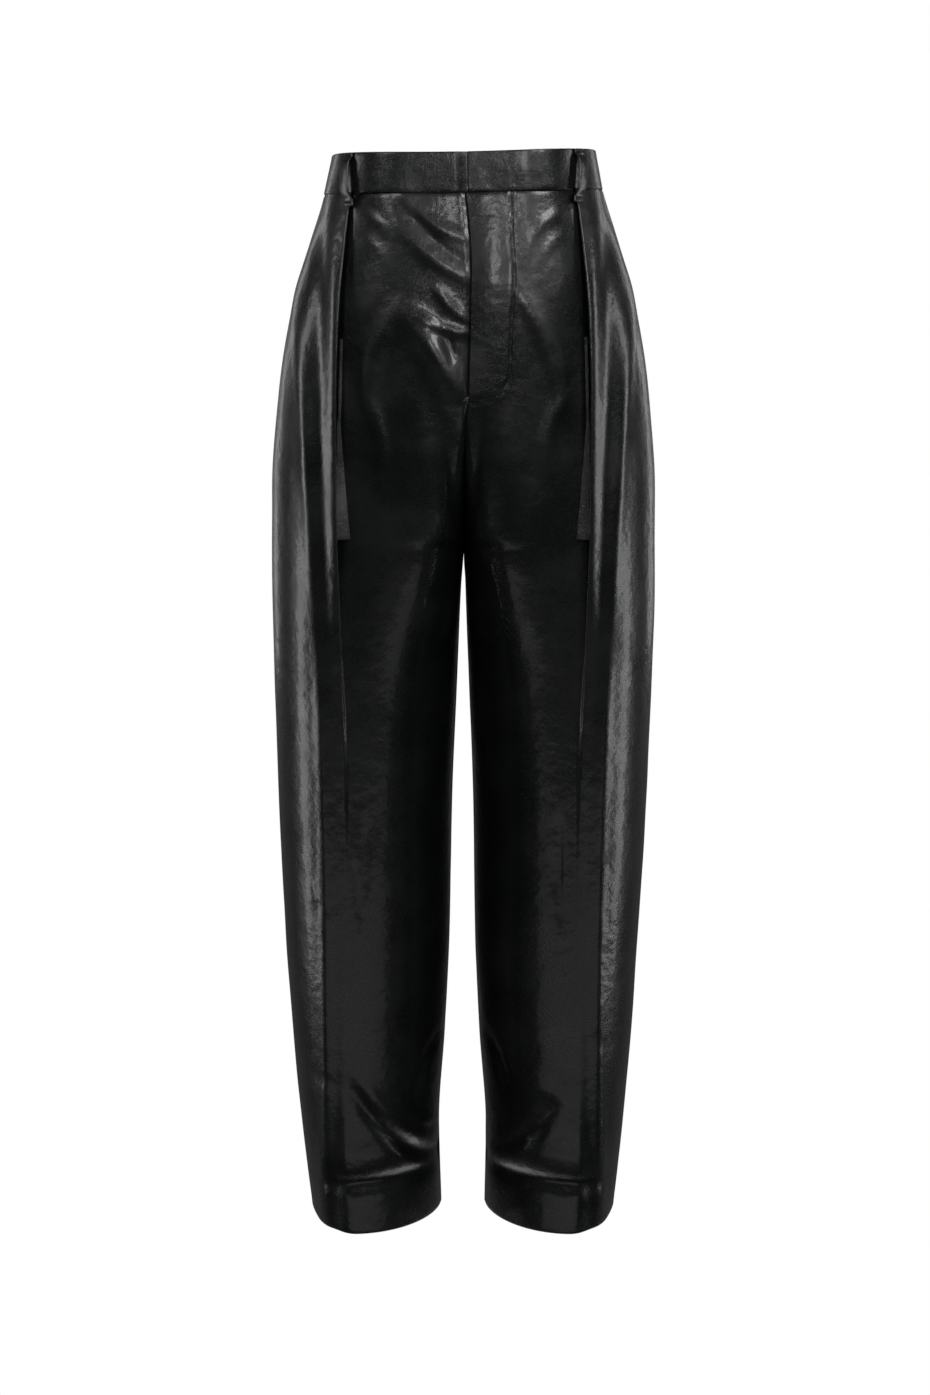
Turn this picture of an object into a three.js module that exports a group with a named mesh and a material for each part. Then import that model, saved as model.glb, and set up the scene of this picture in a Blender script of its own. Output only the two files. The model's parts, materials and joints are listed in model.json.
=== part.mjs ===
// Pleated black leather trousers, filled out as if worn, with nobody inside.
// Units are millimetres. +Z is up, the front faces -Y and the wearer's right is -X.
// The origin is the centre of the waist, halfway up the waistband.
import * as THREE from "three";

// Driving sizes.
const waistTop = 20;
const waistSeam = -17;
const flyEnd = -205;
const crotch = -350;
const hemFold = -996; // top of the turned-up hem
const hem = -1036;
const leather = 1.6; // one layer
const band = 3; // the doubled waistband
const seamGap = 0.3;
const flyGap = 2.4; // between the two fronts along the fly
const seamDepth = 4; // how far the side seam lies behind the origin
const waistTilt = 0.018; // the waist hangs lower on the wearer's right
const sideRise = 3.4; // how much higher it is at the sides than in the middle

// Half of the body by level: how far the outer side, the front and the back stand from the origin,
// how far from the centre line the front and the back reach deepest, and how round the outer
// corners are: 0 is a box, 0.5 an ellipse and 1 a straight slant.
const body = table(
  ["z", "outer", "front", "back", "frontPeak", "backPeak", "round"],
  [
    [20, 126.8, 97, 88, 36, 36, 0.46],
    [-17, 134.8, 100, 93, 38, 40, 0.46],
    [-60, 148.4, 108, 104, 45, 52, 0.46],
    [-120, 165.6, 117, 121, 60, 72, 0.46],
    [-200, 180.2, 122, 136, 78, 88, 0.46],
    [-300, 188.4, 124, 131, 96, 90, 0.46],
    [-390, 189.4, 121, 119, 106, 86, 0.46],
    [-500, 187.6, 115, 110, 112, 82, 0.46],
    [-620, 184.0, 108, 102, 113, 79, 0.47],
    [-740, 179.2, 102, 96, 113, 77, 0.48],
    [-850, 173.0, 97, 92, 112, 75, 0.5],
    [-950, 164.6, 94, 90, 110, 73, 0.53],
    [-1000, 159.8, 93, 90, 108, 72, 0.56],
    [-1036, 155.6, 94, 90, 107, 72, 0.58],
  ],
);

// The centre seams by level: half the gap between the legs, where the inseam lies in depth, how
// round the inner corners are, and how far the rise seams have come from the front and from the
// back to the inseam, from 0 to 1.
const centre = table(
  ["z", "inner", "inseam", "frontRound", "frontRise", "backRound", "backRise"],
  [
    [20, 0.15, 12, 0.3, 0, 0.3, 0],
    [-200, 0.15, 12, 0.3, 0, 0.3, 0],
    [-235, 0.15, 12, 0.3, 0.07, 0.32, 0.08],
    [-265, 0.15, 12, 0.32, 0.17, 0.34, 0.18],
    [-300, 0.15, 12, 0.34, 0.36, 0.36, 0.35],
    [-325, 0.15, 12, 0.36, 0.57, 0.38, 0.55],
    [-340, 0.15, 12, 0.38, 0.76, 0.4, 0.74],
    [-350, 0.15, 12, 0.39, 1, 0.4, 1],
    [-400, 2.5, 12, 0.41, 1, 0.42, 1],
    [-500, 6.3, 10, 0.43, 1, 0.43, 1],
    [-620, 10.8, 7, 0.44, 1, 0.44, 1],
    [-740, 12.8, 4, 0.45, 1, 0.45, 1],
    [-850, 17.5, 1, 0.48, 1, 0.48, 1],
    [-950, 24, 0, 0.5, 1, 0.5, 1],
    [-1036, 22.2, 0, 0.52, 1, 0.52, 1],
  ],
);

// The front pleat by level: where its folded edge lies, how far the under layer runs beneath it,
// how deep the step between the layers is, and how far the fold has opened out, from 0 to 1.
const pleat = table(
  ["z", "edge", "under", "step", "open"],
  [
    [20, 104, 24, 5.2, 0],
    [-18, 106, 24, 5.6, 0],
    [-60, 111, 24, 7, 0],
    [-120, 116, 24, 9, 0],
    [-200, 118.5, 22, 12, 0],
    [-300, 119, 18, 12, 0],
    [-350, 118, 15, 11, 0.08],
    [-400, 115.5, 13, 9.5, 0.4],
    [-470, 113, 13, 7, 0.8],
    [-560, 112, 13, 4.5, 1],
    [-700, 112, 13, 2.2, 1],
    [-850, 112, 13, 1, 1],
    [-1036, 112, 13, 0.4, 1],
  ],
);

// The largest folds: where each starts and ends, its half width and how far it stands out. Ones
// on the front and on the back are placed by their distance from the centre line.
const folds = table(
  ["face", "x0", "z0", "x1", "z1", "width", "height"],
  [
    ["front", 158, -230, 150, -960, 9, 5],
    ["front", 137, -330, 143, -800, 6, -4],
    ["front", 125, -300, 139, -700, 5, 3],
    ["front", 60, -985, 76, -985, 46, -6],
    ["front", 128, -860, 40, -950, 9, -3],
    ["back", 120, -240, 126, -900, 14, 5],
    ["back", 60, -420, 70, -900, 16, -3],
    ["back", 60, -985, 84, -985, 46, -5],
  ],
);
const acrossFold = 11; // half height of the creases that run level above the hem

// How far the centre line bows to the wearer's left by level.
const bow = table(
  ["z", "shift"],
  [
    [20, 0.4],
    [-17, 1.4],
    [-34, 3.4],
    [-60, 5.7],
    [-85, 6.8],
    [-130, 6.2],
    [-160, 4.8],
    [-200, 3.6],
    [-240, 1.6],
    [-290, 0.6],
    [-350, 0],
  ],
);
const bowReach = 70; // the bow has died away this far from the centre line

// How far everything stands to the wearer's right of the centre line by level.
const sway = table(
  ["z", "shift"],
  [
    [20, 1.4],
    [-400, 1.6],
    [-620, 2.4],
    [-850, 3],
    [-1036, 2.2],
  ],
);

function table(names, rows) {
  return rows.map((row) =>
    Object.fromEntries(names.map((name, i) => [name, row[i]])),
  );
}

// A table's column at a level, on a smooth curve through its rows.
function at(rows, z, column) {
  const last = rows.length - 1;
  if (z >= rows[0].z) return rows[0][column];
  if (z <= rows[last].z) return rows[last][column];
  const i = rows.findIndex((row) => row.z <= z) - 1;
  const slope = (a, b) =>
    (rows[b][column] - rows[a][column]) / (rows[b].z - rows[a].z);
  const [start, end] = [rows[i], rows[i + 1]];
  const here = slope(i, i + 1);
  const steady = (other) =>
    other * here <= 0 ? 0 : (2 * other * here) / (other + here);
  const into = i ? steady(slope(i - 1, i)) : here;
  const out = i + 1 < last ? steady(slope(i + 1, i + 2)) : here;
  const span = end.z - start.z;
  const t = (z - start.z) / span;
  return (
    start[column] * (1 + 2 * t) * (1 - t) ** 2 +
    into * span * t * (1 - t) ** 2 +
    end[column] * t * t * (3 - 2 * t) -
    out * span * t * t * (1 - t)
  );
}

function ease(low, high, value) {
  const t = Math.min(1, Math.max(0, (value - low) / (high - low)));
  return t * t * (3 - 2 * t);
}

// A quarter of a rounded box between an upright side at one point and a flat side at another.
function quarter(upright, flat, round, steps = 40) {
  return Array.from({ length: steps + 1 }, (_, i) => {
    const turn = (i / steps) * (Math.PI / 2);
    const across = Math.max(0, Math.cos(turn)) ** (2 * round);
    const along = Math.sin(turn) ** (2 * round);
    return new THREE.Vector2(
      flat.x + (upright.x - flat.x) * across,
      upright.y + (flat.y - upright.y) * along,
    );
  });
}

// The line of one panel at a level, seen from above, from its centre or inseam edge to the side
// seam, with ways to find a place on it by its length.
function panelLine(face, z) {
  const sign = face === "front" ? -1 : 1;
  const deepest = sign * at(body, z, face);
  const flyOpen = face === "front" ? ease(flyEnd - 8, flyEnd + 8, z) : 0;
  const inner = at(centre, z, "inner") + (flyOpen * (flyGap - seamGap)) / 2;
  const peak = new THREE.Vector2(at(body, z, face + "Peak"), deepest);
  const inseam = at(centre, z, "inseam");
  const rise = deepest + (inseam - deepest) * at(centre, z, face + "Rise");
  const seam = new THREE.Vector2(inner, rise);
  const side = new THREE.Vector2(at(body, z, "outer"), seamDepth);
  const inside = quarter(seam, peak, at(centre, z, face + "Round"));
  const outside = quarter(side, peak, at(body, z, "round")).reverse();
  const points = [...inside, ...outside.slice(1)];
  const lengths = [0];
  for (let i = 1; i < points.length; i++)
    lengths.push(lengths[i - 1] + points[i].distanceTo(points[i - 1]));
  const total = lengths[lengths.length - 1];
  const place = (s) => {
    let i = lengths.findIndex((length) => length >= s);
    i = i < 0 ? points.length - 1 : Math.max(1, i);
    const t = (s - lengths[i - 1]) / (lengths[i] - lengths[i - 1]);
    return points[i - 1].clone().lerp(points[i], t);
  };
  // Outwards is to the right of the way along a front, and to the left along a back.
  const outwards = (s) => {
    const way = place(Math.min(total, s + normalSpan)).sub(
      place(Math.max(0, s - normalSpan)),
    );
    way.normalize();
    return new THREE.Vector2(-sign * way.y, sign * way.x);
  };
  const lengthAt = (x) => {
    const i = Math.max(1, points.findIndex((p) => p.x >= x));
    const t = (x - points[i - 1].x) / (points[i].x - points[i - 1].x);
    return lengths[i - 1] + t * (lengths[i] - lengths[i - 1]);
  };
  const offset = (s, out) => {
    const p = place(s);
    return p.addScaledVector(outwards(s), out + relief(face, p.x, z));
  };
  return { total, offset, outwards, lengthAt };
}
const normalSpan = 2.5;

// How far the folds lift or sink the leather at a place.
function relief(face, x, z) {
  return folds
    .filter((fold) => fold.face === face)
    .reduce((sum, { x0, z0, x1, z1, width, height }) => {
      const level = z0 === z1;
      const along = level
        ? ease(x0 - width, x0, x) * (1 - ease(x1, x1 + width, x))
        : ease(z1, z1 + (z0 - z1) * 0.3, z) * (1 - ease(z0 - (z0 - z1) * 0.25, z0, z));
      const way = level ? 0 : (z0 - z) / (z0 - z1);
      const off = level ? (z - z0) / acrossFold : (x - (x0 + (x1 - x0) * way)) / width;
      return sum + height * along * Math.exp(-off * off);
    }, 0);
}

// The middle line of the front's leather at a level: the centre, which sinks towards the pleat,
// the two turns of the pleat, and the side, whose folded edge lies over the centre.
function frontLine(z) {
  const line = panelLine("front", z);
  const edge = line.lengthAt(at(pleat, z, "edge"));
  const { step, under, open } = pleatAt(z);
  const first = seamGap / 2;
  const last = line.total - seamGap / 2;
  const start = edge - pleatRun;
  const middle = -leather / 2;
  const points = centreShares.map((share) => {
    const s = first + share * (start - first);
    return line.offset(s, middle - sink(edge - s, step));
  });
  const turns = foldTurns(step, under);
  turns.forEach(([along, out], i) => {
    const opened = (i + 0.5) / turns.length;
    const flat = -pleatRun + opened * 2 * pleatRun;
    const risen = -step * (1 - ease(0, 1, opened));
    points.push(
      line.offset(
        edge + along + (flat - along) * open,
        middle + out + (risen - out) * open,
      ),
    );
  });
  const side = edge + pleatRun;
  for (const share of sideShares)
    points.push(line.offset(side + share * (last - side), middle));
  return { points, ends: [line.outwards(first), line.outwards(last)] };
}
const pleatRun = 5;
const pleatReach = 48; // the centre sinks towards the pleat from this far off
const centreShares = [0, 0.14, 0.29, 0.44, 0.59, 0.74, 0.88, 1];
const sideShares = [0, 0.06, 0.13, 0.2, 0.27, 0.34, 0.42, 0.54, 0.68, 0.84, 1];

function pleatAt(z) {
  return {
    step: at(pleat, z, "step"),
    under: at(pleat, z, "under"),
    open: at(pleat, z, "open"),
  };
}

// How far the centre lies below the side's surface at a distance from the folded edge.
function sink(distance, step) {
  return step * (1 - ease(0, pleatReach, distance));
}

// The two turns of the closed pleat, each place as a distance along from the folded edge and out
// from the surface: under the side, back along it, and round the folded edge.
function foldTurns(step, under) {
  const inner = (step - edgeRadius) / 4;
  return [
    [under * 0.4, -step],
    [under - inner, -step],
    [under, -step + inner],
    [under - inner, -step + 2 * inner],
    [under * 0.4, (-step + 2 * inner - 2 * edgeRadius) / 2],
    [edgeRadius, -2 * edgeRadius],
    [0, -edgeRadius],
    [edgeRadius, 0],
  ];
}
const edgeRadius = 1.15;

function backLine(z) {
  const line = panelLine("back", z);
  const first = seamGap / 2;
  const last = line.total - seamGap / 2;
  const points = backShares.map((share) =>
    line.offset(first + share * (last - first), -leather / 2),
  );
  return { points, ends: [line.outwards(first), line.outwards(last)] };
}
const backShares = Array.from({ length: 16 }, (_, i) => i / 15);

// Puts a plan point of one half at its level: mirrored to its side, then bowed, swayed and tilted.
function placed(point, z, side) {
  const x = side * point.x;
  const near = Math.max(0, 1 - Math.abs(x) / bowReach);
  const lift = waistTilt * x + sideRise * (x / waistHalf) ** 2;
  return new THREE.Vector3(
    x + at(bow, z, "shift") * near ** 2 - at(sway, z, "shift"),
    point.y,
    z + lift * ease(-260, waistSeam, z),
  );
}
const waistHalf = 128;

// A closed wall through rows of plan points, half its thickness to each side of them, and deeper
// on the inside where a row says so. The outside is to the right of the way along the points,
// or to the left with turn -1, and the ends may face a way of their own.
function wall(rows, side, turn = 1) {
  const outer = [];
  const inner = [];
  for (const { z, points, ends, thick, deeper = 0 } of rows) {
    const last = points.length - 1;
    const facing = points.map((p, i) => {
      if (ends && i % last === 0) return ends[i / last];
      const way = points[Math.min(last, i + 1)].clone().sub(points[Math.max(0, i - 1)]);
      return new THREE.Vector2(way.y, -way.x).multiplyScalar(turn / way.length());
    });
    const put = (out) =>
      points.map((p, i) => placed(p.clone().addScaledVector(facing[i], out), z, side));
    outer.push(put(thick / 2));
    inner.push(put(-thick / 2 - deeper));
  }
  return closed(outer, inner);
}

// A closed body between two grids of points, facing outwards whichever way they run.
function closed(outer, inner) {
  const [high, wide] = [outer.length, outer[0].length];
  const positions = [...outer.flat(), ...inner.flat()].flatMap((p) => p.toArray());
  const index = [];
  const quad = (a, b, c, d) => index.push(a, b, c, a, c, d);
  const far = high * wide;
  for (let r = 0; r + 1 < high; r++)
    for (let c = 0; c + 1 < wide; c++) {
      const a = r * wide + c;
      quad(a, a + 1, a + wide + 1, a + wide);
      quad(far + a, far + a + wide, far + a + wide + 1, far + a + 1);
    }
  for (let c = 0; c + 1 < wide; c++) {
    const low = (high - 1) * wide + c;
    quad(c, far + c, far + c + 1, c + 1);
    quad(low, low + 1, far + low + 1, far + low);
  }
  for (let r = 0; r + 1 < high; r++) {
    const a = r * wide;
    const b = a + wide - 1;
    quad(a, a + wide, far + a + wide, far + a);
    quad(b, far + b, far + b + wide, b + wide);
  }
  const geometry = new THREE.BufferGeometry();
  geometry.setAttribute(
    "position",
    new THREE.BufferAttribute(new Float32Array(positions), 3),
  );
  geometry.setIndex(volume(positions, index) < 0 ? index.reverse() : index);
  geometry.computeVertexNormals();
  return geometry;
}

function volume(positions, index) {
  const corner = (i) => new THREE.Vector3().fromArray(positions, 3 * index[i]);
  let sum = 0;
  for (let i = 0; i < index.length; i += 3)
    sum += corner(i).dot(corner(i + 1).cross(corner(i + 2)));
  return sum / 6;
}

// Levels of the panels, closer together at the crotch and above the hem.
const levels = [
  waistSeam - seamGap, -40, -75, -115, -160, -205, -245, -280, -305, -325, -340, crotch, -368,
  -392, -425, -470, -530, -605, -685, -770, -850, -910, -950, -974, -985, hemFold + 1,
  hemFold - 1, -1014, hem,
];

function panel(line, side, turn) {
  const rows = levels.map((z) => ({
    z,
    ...line(z),
    thick: leather,
    deeper: z < hemFold ? leather - 0.2 : 0,
  }));
  return wall(rows, side, turn);
}

// Half of the waistband, from its end at the front round the side to the centre back. The
// wearer's right half runs on behind the other as the underlap that the hook closes on.
function waistband(side) {
  const rows = [waistTop, (waistTop + waistSeam) / 2, waistSeam].map((z) => {
    const front = panelLine("front", z);
    const back = panelLine("back", z);
    const points = [];
    if (side < 0)
      for (const x of [-underlap, -underlap / 2, -bandEnd])
        points.push(new THREE.Vector2(x, -at(body, z, "front") + 1.5 * band + seamGap));
    const start = front.lengthAt(side < 0 ? bandBend : bandEnd);
    const along = (i, from, to) => from + (i / bandSteps) * (to - from);
    for (let i = 0; i <= bandSteps; i++)
      points.push(front.offset(along(i, start, front.total), -band / 2));
    for (let i = bandSteps - 1; i >= 0; i--)
      points.push(back.offset(along(i, seamGap / 2, back.total), -band / 2));
    return { z, points, thick: band };
  });
  return wall(rows, side);
}
const bandSteps = 12;
const bandEnd = 1.8; // from the centre line to the left half's end
const bandBend = 8; // where the right half bends in behind it
const underlap = 38;

// The strip behind the fly's opening, which the fronts lie on.
function flyShield() {
  const rows = [waistSeam - 1, -50, -80, -110, -140, -170, flyEnd].map((z) => {
    const line = panelLine("front", z);
    const out = -leather - shieldGap - shieldThick / 2;
    const points = [-12, -4, 4, 12, 24, shieldWidth].map((x) => {
      const under = line.offset(line.lengthAt(Math.max(4, Math.abs(x))), out);
      return new THREE.Vector2(x, under.y);
    });
    return { z, points, thick: shieldThick };
  });
  return wall(rows, 1);
}
const shieldGap = 0.5;
const shieldThick = 1.4;
const shieldWidth = 36;

// A belt loop: a folded strap sewn down at both ends, standing off the waistband between them.
function beltLoop(face, x, side) {
  const grid = (thick) =>
    loopPath.map(([z, off]) => {
      const line = panelLine(face, z);
      const s = line.lengthAt(x);
      const out = line.outwards(s);
      const across = new THREE.Vector2(-out.y, out.x);
      const root = line.offset(s, seamGap + off + thick);
      return [-loopWidth / 2, loopWidth / 2].map((w) =>
        placed(root.clone().addScaledVector(across, w), z, side),
      );
    });
  return closed(grid(loopThick), grid(0));
}
const loopWidth = 11;
const loopThick = 2.2;
// Each step down the loop: the level, and how far it stands off.
const loopPath = [
  [19.5, 0.2],
  [15.5, 0.2],
  [13.5, 2.6],
  [10, 5.4],
  [0, 6],
  [-10, 6],
  [-17, 5],
  [-21.5, 2],
  [-24, 0.4],
  [-29.5, 0.4],
];

// The pocket welt inside each pleat: a strip with a slanting edge that lies on the sunken centre
// and runs under the folded edge.
function pocketWelt(side) {
  const rows = [-160, -200, -240, -280, -315, weltEnd].map((z) => {
    const line = panelLine("front", z);
    const edge = line.lengthAt(at(pleat, z, "edge"));
    const { step } = pleatAt(z);
    const slant = (weltWidth * (z - weltStart)) / (weltEnd - weltStart);
    const points = [-slant, -slant / 2, 0, weltUnder].map((along) => {
      const down = sink(Math.max(0, -along), step);
      return line.offset(edge + along, -down + weltGap + weltThick / 2);
    });
    return { z, points, thick: weltThick };
  });
  return wall(rows, side);
}
const weltStart = -130;
const weltEnd = -340;
const weltWidth = 19;
const weltUnder = 3;
const weltThick = 1.2;
const weltGap = 0.6;

const blackLeather = new THREE.MeshStandardMaterial({
  color: 0x0c0d0e,
  roughness: 0.36,
  metalness: 0,
});

const trousers = new THREE.Group();
function add(name, geometry) {
  const mesh = new THREE.Mesh(geometry, blackLeather);
  mesh.name = name;
  trousers.add(mesh);
}

for (const [word, side] of [["right", -1], ["left", 1]]) {
  add("front_" + word, panel(frontLine, side, 1));
  add("back_" + word, panel(backLine, side, -1));
  add("waistband_" + word, waistband(side));
  add("pocket_welt_" + word, pocketWelt(side));
  add("loop_front_" + word, beltLoop("front", 106, side));
  add("loop_back_" + word, beltLoop("back", 84, side));
}
add("fly_shield", flyShield());
add("loop_back_centre", beltLoop("back", 0, 1));

export default trousers;
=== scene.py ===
import json
import math

import bpy
import numpy as np
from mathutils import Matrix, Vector
from mathutils.bvhtree import BVHTree

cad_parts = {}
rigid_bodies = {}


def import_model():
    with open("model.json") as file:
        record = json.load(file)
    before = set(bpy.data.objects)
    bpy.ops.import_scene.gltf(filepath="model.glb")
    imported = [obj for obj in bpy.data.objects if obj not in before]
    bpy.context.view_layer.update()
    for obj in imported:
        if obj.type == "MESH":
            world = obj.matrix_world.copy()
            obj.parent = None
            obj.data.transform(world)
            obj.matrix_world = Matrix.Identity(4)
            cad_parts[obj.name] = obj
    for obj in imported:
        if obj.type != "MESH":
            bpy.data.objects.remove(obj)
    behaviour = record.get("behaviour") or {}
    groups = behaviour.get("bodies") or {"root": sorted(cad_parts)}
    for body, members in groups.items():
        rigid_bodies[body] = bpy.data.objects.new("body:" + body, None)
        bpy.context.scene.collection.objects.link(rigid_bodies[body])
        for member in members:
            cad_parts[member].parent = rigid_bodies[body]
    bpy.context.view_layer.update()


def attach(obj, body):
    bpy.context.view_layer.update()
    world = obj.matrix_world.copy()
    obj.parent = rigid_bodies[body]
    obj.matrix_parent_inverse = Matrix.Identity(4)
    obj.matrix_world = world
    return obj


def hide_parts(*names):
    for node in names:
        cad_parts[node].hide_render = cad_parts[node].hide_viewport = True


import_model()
mm = 0.001

cut = {
    "waistTop": 20,
    "waistSeam": -17,
    "flyEnd": -205,
    "hem": -1036,
    "leather": 1.1,  # one layer
    "seamDepth": 4,  # how far the side seam lies behind the origin
    "waistTilt": 0.018,  # the waist hangs lower on the wearer's right
    "sideRise": 3.4,  # and is this much higher at the sides than in the middle
    "waistHalf": 128,
    "bowReach": 70,  # the bow has died away this far from the centre line
}


def table(names, rows):
    grid = np.array(rows, float)
    return {name: grid[:, i] for i, name in enumerate(names.split())}


# Half of the body by level: the outer side, the front and the back, where each reaches deepest,
# and how round the outer corners are.
body = table("z outer front back frontPeak backPeak round", [
    [20, 126.8, 97, 88, 50, 36, 0.46],
    [-17, 134.8, 100, 93, 53, 40, 0.46],
    [-60, 148.4, 108, 104, 60, 52, 0.46],
    [-120, 165.6, 117, 121, 72, 72, 0.46],
    [-200, 180.2, 122, 136, 85, 88, 0.46],
    [-300, 188.4, 124, 131, 98, 90, 0.46],
    [-390, 189.4, 121, 119, 106, 86, 0.46],
    [-500, 187.6, 115, 110, 112, 82, 0.46],
    [-620, 184.0, 108, 102, 113, 79, 0.47],
    [-740, 179.2, 102, 96, 113, 77, 0.48],
    [-850, 173.0, 97, 92, 112, 75, 0.5],
    [-950, 164.6, 94, 90, 110, 73, 0.53],
    [-1000, 159.8, 93, 90, 108, 72, 0.56],
    [-1036, 155.6, 94, 90, 107, 72, 0.58],
])

# The centre seams by level: half the gap between the legs, the inseam's depth, how round the
# inner corners are, and how far the rise seams have come to the inseam, from 0 to 1.
centre = table("z inner inseam frontRound frontRise backRound backRise", [
    [20, 0, 12, 0.3, 0, 0.3, 0],
    [-200, -0.1, 12, 0.3, 0, 0.3, 0],
    [-235, -0.1, 12, 0.3, 0.07, 0.32, 0.08],
    [-265, -0.1, 12, 0.32, 0.17, 0.34, 0.18],
    [-300, -0.1, 12, 0.31, 0.36, 0.32, 0.35],
    [-325, -0.1, 12, 0.29, 0.57, 0.3, 0.55],
    [-340, -0.1, 12, 0.28, 0.76, 0.29, 0.74],
    [-350, -0.1, 12, 0.28, 1, 0.29, 1],
    [-400, 2.5, 12, 0.36, 1, 0.36, 1],
    [-500, 6.3, 10, 0.5, 1, 0.43, 1],
    [-620, 10.8, 7, 0.52, 1, 0.44, 1],
    [-740, 12.8, 4, 0.52, 1, 0.45, 1],
    [-850, 17.5, 1, 0.53, 1, 0.48, 1],
    [-950, 24, 0, 0.53, 1, 0.5, 1],
    [-1036, 22.2, 0, 0.54, 1, 0.52, 1],
])

# The front pleat by level: its folded edge, the under layer's reach beneath it, the step between
# the layers, pressed flat into the waist, and how far the fold has opened out, from 0 to 1.
pleat = table("z edge under step open", [
    [20, 104, 20, 3.2, 0],
    [-18, 106, 20, 3.3, 0],
    [-60, 111, 22, 6.4, 0],
    [-120, 116, 24, 9, 0],
    [-200, 118.5, 22, 12, 0],
    [-300, 119, 18, 12, 0],
    [-350, 118, 15, 11, 0.08],
    [-400, 115.5, 13, 9.5, 0.4],
    [-470, 113, 13, 7, 0.8],
    [-560, 112, 13, 4.5, 1],
    [-700, 112, 13, 2.2, 1],
    [-850, 112, 13, 1, 1],
    [-1036, 112, 13, 0.4, 1],
])
pleatFold = {
    "run": 5,  # half the width of the opened fold
    "reach": 84,  # the centre sinks towards the pleat from this far off
    "radius": 1.3,  # of the folded edge
}

# How far the centre line bows to the wearer's left, and how far everything stands to the right.
bow = table("z shift", [
    [20, 0.4],
    [-17, 1.4],
    [-34, 3.4],
    [-60, 5.7],
    [-85, 6.8],
    [-130, 6.2],
    [-160, 4.8],
    [-200, 3.6],
    [-240, 1.6],
    [-290, 0.6],
    [-350, 0],
])
sway = table("z shift", [
    [20, 1.4],
    [-400, 1.6],
    [-620, 2.4],
    [-850, 3],
    [-1036, 2.2],
])


def curve(rows, name, z):
    # a smooth curve through the table's rows, with no bumps between them
    knots, values = rows["z"][::-1], rows[name][::-1]
    gaps = np.diff(knots)
    slopes = np.diff(values) / gaps
    tangents = np.zeros_like(values)
    tangents[0], tangents[-1] = slopes[0], slopes[-1]
    product = slopes[:-1] * slopes[1:]
    total = slopes[:-1] + slopes[1:]
    rising = product > 0
    tangents[1:-1][rising] = 2 * product[rising] / total[rising]
    z = np.clip(np.asarray(z, float), knots[0], knots[-1])
    i = np.clip(np.searchsorted(knots, z, side="right") - 1, 0, len(gaps) - 1)
    t = (z - knots[i]) / gaps[i]
    return (
        values[i] * (1 + 2 * t) * (1 - t) ** 2
        + tangents[i] * gaps[i] * t * (1 - t) ** 2
        + values[i + 1] * t * t * (3 - 2 * t)
        - tangents[i + 1] * gaps[i] * t * t * (1 - t)
    )


def flowing(rows, name, z, reach=16):
    # the same curve evened out over a short height, so that gloss runs over it without kinks
    steps = np.linspace(-1.5, 1.5, 9)
    weights = np.exp(-(steps**2))
    levels = np.asarray(z, float)[..., None] + reach * steps
    return (curve(rows, name, levels) * weights).sum(-1) / weights.sum()


def ease(low, high, value):
    t = np.clip((np.asarray(value, float) - low) / (high - low), 0, 1)
    return t * t * (3 - 2 * t)


def quarter(upright, flat, rounding, steps=170):
    # a quarter of a rounded box between an upright side and a flat side
    turn = np.linspace(0, 1, steps + 1)
    turn = turn * turn * (3 - 2 * turn) * math.pi / 2
    across = np.maximum(0, np.cos(turn)) ** (2 * rounding)
    along = np.maximum(0, np.sin(turn)) ** (2 * rounding)
    x = flat[0] + (upright[0] - flat[0]) * across
    y = upright[1] + (flat[1] - upright[1]) * along
    return np.stack([x, y], 1)


class PanelLine:
    # one level of a panel seen from above, from its centre or inseam edge to the side seam
    def __init__(self, face, z, start=None):
        self.sign = -1 if face == "front" else 1
        deepest = self.sign * float(flowing(body, face, z))
        inner = float(curve(centre, "inner", z)) if start is None else start
        inseam = float(curve(centre, "inseam", z))
        peak = (float(flowing(body, face + "Peak", z)), deepest)
        rise = deepest + (inseam - deepest) * float(curve(centre, face + "Rise", z))
        side = (float(flowing(body, "outer", z, 9)), cut["seamDepth"])
        inside = quarter((inner, rise), peak, float(curve(centre, face + "Round", z)))
        outside = quarter(side, peak, float(curve(body, "round", z)))[::-1]
        self.points = np.concatenate([inside, outside[1:]])
        steps = np.hypot(*np.diff(self.points, axis=0).T)
        self.lengths = np.concatenate([[0], np.cumsum(steps)])
        self.total = self.lengths[-1]

    def place(self, s):
        x = np.interp(s, self.lengths, self.points[:, 0])
        return np.stack([x, np.interp(s, self.lengths, self.points[:, 1])], -1)

    def outwards(self, s, span=2.5):
        s = np.asarray(s, float)
        way = self.place(np.minimum(self.total, s + span)) - self.place(np.maximum(0, s - span))
        way /= np.linalg.norm(way, axis=-1, keepdims=True)
        return np.stack([-self.sign * way[..., 1], self.sign * way[..., 0]], -1)

    def lengthAt(self, x):
        return float(np.interp(x, self.points[:, 0], self.lengths))

    def offset(self, s, out):
        return self.place(s) + self.outwards(s) * np.asarray(out, float)[..., None]


def placed(x, z, side):
    # mirrors a half to its side, then bows, sways and tilts it
    x = side * np.asarray(x, float)
    near = np.maximum(0, 1 - np.abs(x) / cut["bowReach"])
    lift = cut["waistTilt"] * x + cut["sideRise"] * (x / cut["waistHalf"]) ** 2
    newX = x + curve(bow, "shift", z) * near**2 - curve(sway, "shift", z)
    return newX, z + lift * ease(-260, cut["waistSeam"], z)


def node(tree, kind, settings=None, **inputs):
    made = tree.nodes.new(kind)
    for name, value in (settings or {}).items():
        setattr(made, name, value)
    for name, value in inputs.items():
        socket = made.inputs[name.replace("_", " ")]
        if isinstance(value, bpy.types.NodeSocket):
            tree.links.new(value, socket)
        else:
            socket.default_value = value
    return made


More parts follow.
